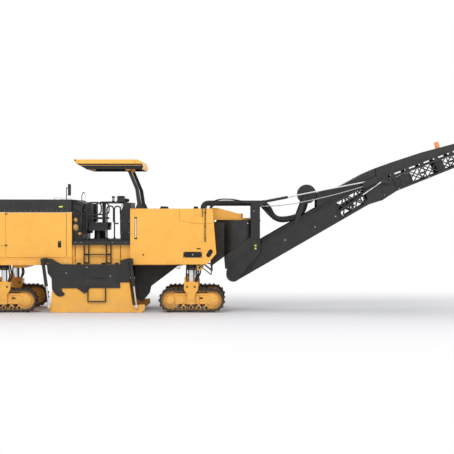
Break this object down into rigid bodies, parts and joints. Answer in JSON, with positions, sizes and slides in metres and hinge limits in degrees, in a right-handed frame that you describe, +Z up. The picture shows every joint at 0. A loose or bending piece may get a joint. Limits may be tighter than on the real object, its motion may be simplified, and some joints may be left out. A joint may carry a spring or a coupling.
{
  "type": "tracked cold planer with front loading conveyor",
  "caption": "Road milling machine on steered tracks: engine housing, open operator platform under a folding canopy, milling drum between the tracks and a slewing, folding discharge conveyor.",
  "frame": {"origin": "on the ground under the middle of the overall box, conveyor straight ahead and raised as parked", "axes": "+X forward along the machine to the tip of the discharge conveyor, +Y to the left, +Z up"},
  "size_m": [14.3991, 2.721, 4.7],
  "materials": {
    "yellow_paint": "satin road yellow enamel, light scuffs",
    "black_paint": "semi-gloss black enamel",
    "polished_steel": "bright hydraulic rod plating",
    "track_steel": "dark worn steel and pads, dusty",
    "engine_metal": "grey cast metal",
    "cutter_steel": "worn cutter steel",
    "rubber": "matt black rubber",
    "console_plastic": "matt black plastic",
    "pad_cloth": "dark woven pad covers",
    "orange_lens": "clear orange lens"
  },
  "bodies": {
    "chassis": {"main_frame": "yellow_paint", "rear_frame": "yellow_paint", "front_arms": "yellow_paint", "body_cheeks": "yellow_paint", "engine_housing": "yellow_paint", "rear_grille": "black_paint", "engine_block": "engine_metal", "front_body": "yellow_paint", "platform_deck": "black_paint", "ladders": "black_paint", "hand_rails": "black_paint", "machinery_block": "black_paint", "console": "console_plastic", "seats": "console_plastic", "seat_pads": "pad_cloth", "drum_housing": "black_paint", "drum_side_covers": "black_paint", "primary_conveyor": "black_paint", "slew_bracket": "yellow_paint", "leg_rams": "polished_steel", "duct_body": "rubber", "post_feet": "black_paint"},
    "hood": {"engine_hood": "black_paint"},
    "door_right": {"engine_door_right": "yellow_paint"},
    "door_left": {"engine_door_left": "yellow_paint"},
    "crawler_front_right": {"yoke_front_right": "yellow_paint", "track_frame_front_right": "yellow_paint", "track_loop_front_right": "track_steel"},
    "crawler_front_left": {"yoke_front_left": "yellow_paint", "track_frame_front_left": "yellow_paint", "track_loop_front_left": "track_steel"},
    "crawler_rear_right": {"yoke_rear_right": "yellow_paint", "track_frame_rear_right": "yellow_paint", "track_loop_rear_right": "track_steel"},
    "crawler_rear_left": {"yoke_rear_left": "yellow_paint", "track_frame_rear_left": "yellow_paint", "track_loop_rear_left": "track_steel"},
    "drum": {"milling_drum": "cutter_steel"},
    "plate_right": {"side_plate_right": "yellow_paint", "plate_rods_right": "polished_steel"},
    "plate_left": {"side_plate_left": "yellow_paint", "plate_rods_left": "polished_steel"},
    "scraper": {"moldboard": "black_paint"},
    "slew": {"slewing_frame": "black_paint", "transfer_shroud": "black_paint"},
    "lower": {"conveyor_lower": "black_paint", "belt_lower": "rubber", "cover_lower": "black_paint", "duct_conveyor": "rubber", "dust_fan": "black_paint"},
    "upper": {"conveyor_upper": "black_paint", "belt_upper": "rubber", "cover_upper": "black_paint", "beacon": "orange_lens"},
    "lift_barrel": {"lift_barrels": "black_paint"},
    "lift_rod": {"lift_rods": "polished_steel"},
    "fold_barrel": {"fold_barrels": "black_paint"},
    "fold_rod": {"fold_rods": "polished_steel"},
    "posts": {"canopy_posts": "black_paint"},
    "roof": {"canopy": "yellow_paint"}
  },
  "joints": [
    {"name": "steer_front_right", "type": "hinge", "parent": "chassis", "child": "crawler_front_right", "pos_m": [-0.842, -1.03, 0.7], "axis": [0, 0, 1], "range_deg": [-20, 20]},
    {"name": "steer_front_left", "type": "hinge", "parent": "chassis", "child": "crawler_front_left", "pos_m": [-0.842, 1.03, 0.7], "axis": [0, 0, 1], "range_deg": [-20, 20]},
    {"name": "steer_rear_right", "type": "hinge", "parent": "chassis", "child": "crawler_rear_right", "pos_m": [-5.752, -1.03, 0.7], "axis": [0, 0, 1], "range_deg": [-20, 20]},
    {"name": "steer_rear_left", "type": "hinge", "parent": "chassis", "child": "crawler_rear_left", "pos_m": [-5.752, 1.03, 0.7], "axis": [0, 0, 1], "range_deg": [-20, 20]},
    {"name": "drum_spin", "type": "hinge", "parent": "chassis", "child": "drum", "pos_m": [-3.262, 0, 0.56], "axis": [0, 1, 0], "continuous": true},
    {"name": "plate_right_lift", "type": "slide", "parent": "chassis", "child": "plate_right", "axis": [-0.134, 0, 0.991], "range_m": [0, 0.35]},
    {"name": "plate_left_lift", "type": "slide", "parent": "chassis", "child": "plate_left", "axis": [-0.134, 0, 0.991], "range_m": [0, 0.35]},
    {"name": "scraper_lift", "type": "slide", "parent": "chassis", "child": "scraper", "axis": [0, 0, 1], "range_m": [0, 0.3]},
    {"name": "slew_turn", "type": "hinge", "parent": "chassis", "child": "slew", "pos_m": [0.408, 0, 2.4], "axis": [0, 0, 1], "range_deg": [-60, 60]},
    {"name": "conveyor_lift", "type": "hinge", "parent": "slew", "child": "lower", "pos_m": [0.268, 0, 0.967], "axis": [0, -1, 0], "range_deg": [-10, 6]},
    {"name": "conveyor_fold", "type": "hinge", "parent": "lower", "child": "upper", "pos_m": [4.208, 0, 2.99], "axis": [0, 1, 0], "range_deg": [0, 80]},
    {"name": "lift_barrel_turn", "type": "hinge", "parent": "slew", "child": "lift_barrel", "pos_m": [1.078, 0, 2.905], "axis": [0, -1, 0], "range_deg": [-13.93, 8.56]},
    {"name": "lift_rod_slide", "type": "slide", "parent": "lift_barrel", "child": "lift_rod", "axis": [0.9817, 0, 0.1903], "range_m": [-0.1948, 0.3213]},
    {"name": "fold_barrel_turn", "type": "hinge", "parent": "lower", "child": "fold_barrel", "pos_m": [3.06258, 0, 2.62664], "axis": [0, 1, 0], "range_deg": [-0.5, 20.56]},
    {"name": "fold_rod_slide", "type": "slide", "parent": "fold_barrel", "child": "fold_rod", "axis": [0.8174, 0, 0.5761], "range_m": [-0.005, 0.304]},
    {"name": "canopy_fold", "type": "hinge", "parent": "chassis", "child": "posts", "pos_m": [-2.207, 0, 2.8], "axis": [0, -1, 0], "range_deg": [0, 50]},
    {"name": "canopy_level", "type": "hinge", "parent": "posts", "child": "roof", "pos_m": [-2.512, 0, 3.777], "axis": [0, -1, 0], "range_deg": [-50.5, 0.5]},
    {"name": "hood_open", "type": "hinge", "parent": "chassis", "child": "hood", "pos_m": [-7.042, 0, 2.62], "axis": [0, 1, 0], "range_deg": [-40, 0]},
    {"name": "door_right_open", "type": "hinge", "parent": "chassis", "child": "door_right", "pos_m": [-5.692, -1.175, 2], "axis": [0, 0, -1], "range_deg": [0, 100]},
    {"name": "door_left_open", "type": "hinge", "parent": "chassis", "child": "door_left", "pos_m": [-5.692, 1.175, 2], "axis": [0, 0, 1], "range_deg": [0, 100]}
  ],
  "couplings": [
    {"joint": "steer_front_left", "follows": "steer_front_right", "ratio": 1},
    {"joint": "steer_rear_left", "follows": "steer_rear_right", "ratio": 1},
    {"joint": "lift_barrel_turn", "follows": "conveyor_lift", "ratio": 1.3431},
    {"joint": "lift_rod_slide", "follows": "conveyor_lift", "m_per_rad": -1.8123},
    {"joint": "fold_barrel_turn", "follows": "conveyor_fold", "ratio": 0.2507},
    {"joint": "fold_rod_slide", "follows": "conveyor_fold", "m_per_rad": 0.2142},
    {"joint": "canopy_level", "follows": "canopy_fold", "ratio": -1}
  ]
}
